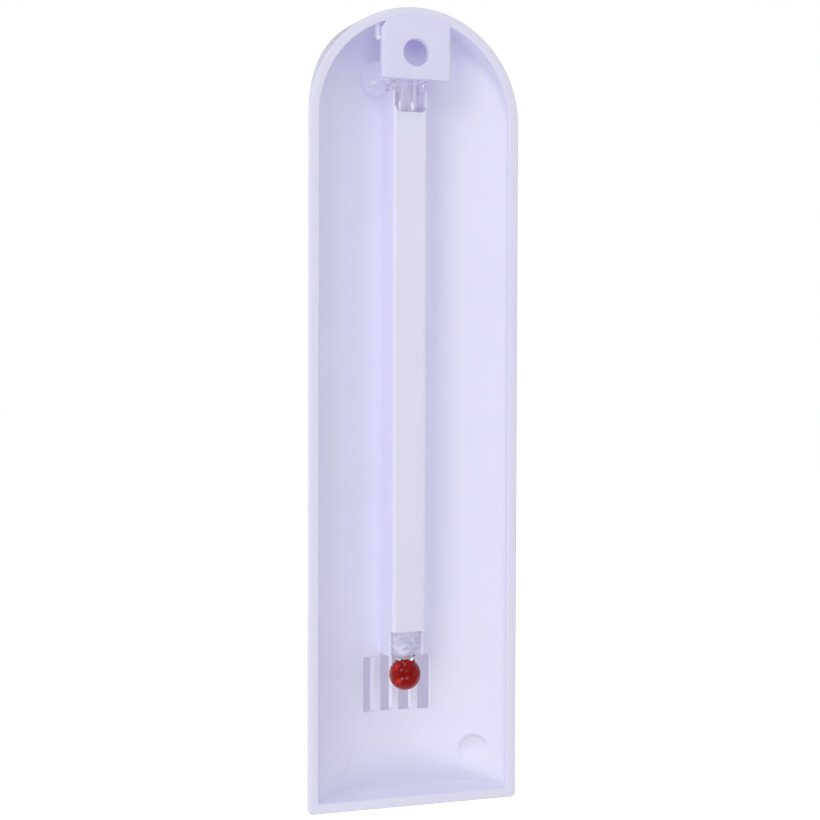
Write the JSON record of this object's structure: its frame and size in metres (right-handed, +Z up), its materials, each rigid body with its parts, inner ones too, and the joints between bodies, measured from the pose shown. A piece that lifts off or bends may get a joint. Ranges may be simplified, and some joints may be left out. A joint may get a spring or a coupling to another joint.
{
  "type": "wall thermometer",
  "caption": "White crowned wall thermometer case, open at the back, with a hanging hole, a glass tube in a moulded channel and a red bulb behind a grille.",
  "frame": {"origin": "centre of the hanging hole on the back face of the hanger plate, in the plane of the rim that lies on the wall", "axes": "+Z up along the case, +Y out of the open back towards the wall along the hanging hole, +X to the left when seen from behind"},
  "size_m": [0.0558, 0.0152, 0.2],
  "materials": {
    "white_case": "moulded polystyrene, soft gloss",
    "white_hanger": "moulded polystyrene, satin",
    "clear_cement": "clear set cement",
    "clear_glass": "drawn clear glass",
    "hot_glue": "clear hot-melt glue, wet look",
    "red_spirit": "dyed red spirit"
  },
  "bodies": {
    "thermometer": {"case_shell": "white_case", "hanger_plate": "white_hanger", "plate_cement": "clear_cement", "glass_tube": "clear_glass", "glue_dab": "hot_glue", "spirit_fill": "red_spirit", "spirit_thread": "red_spirit"},
    "spirit_level": {"spirit_head": "red_spirit"}
  },
  "joints": [
    {"name": "spirit_rise", "type": "slide", "parent": "thermometer", "child": "spirit_level", "axis": [0, 0, 1], "range_m": [-0.078, 0.039], "deforming": ["spirit_thread"]}
  ]
}
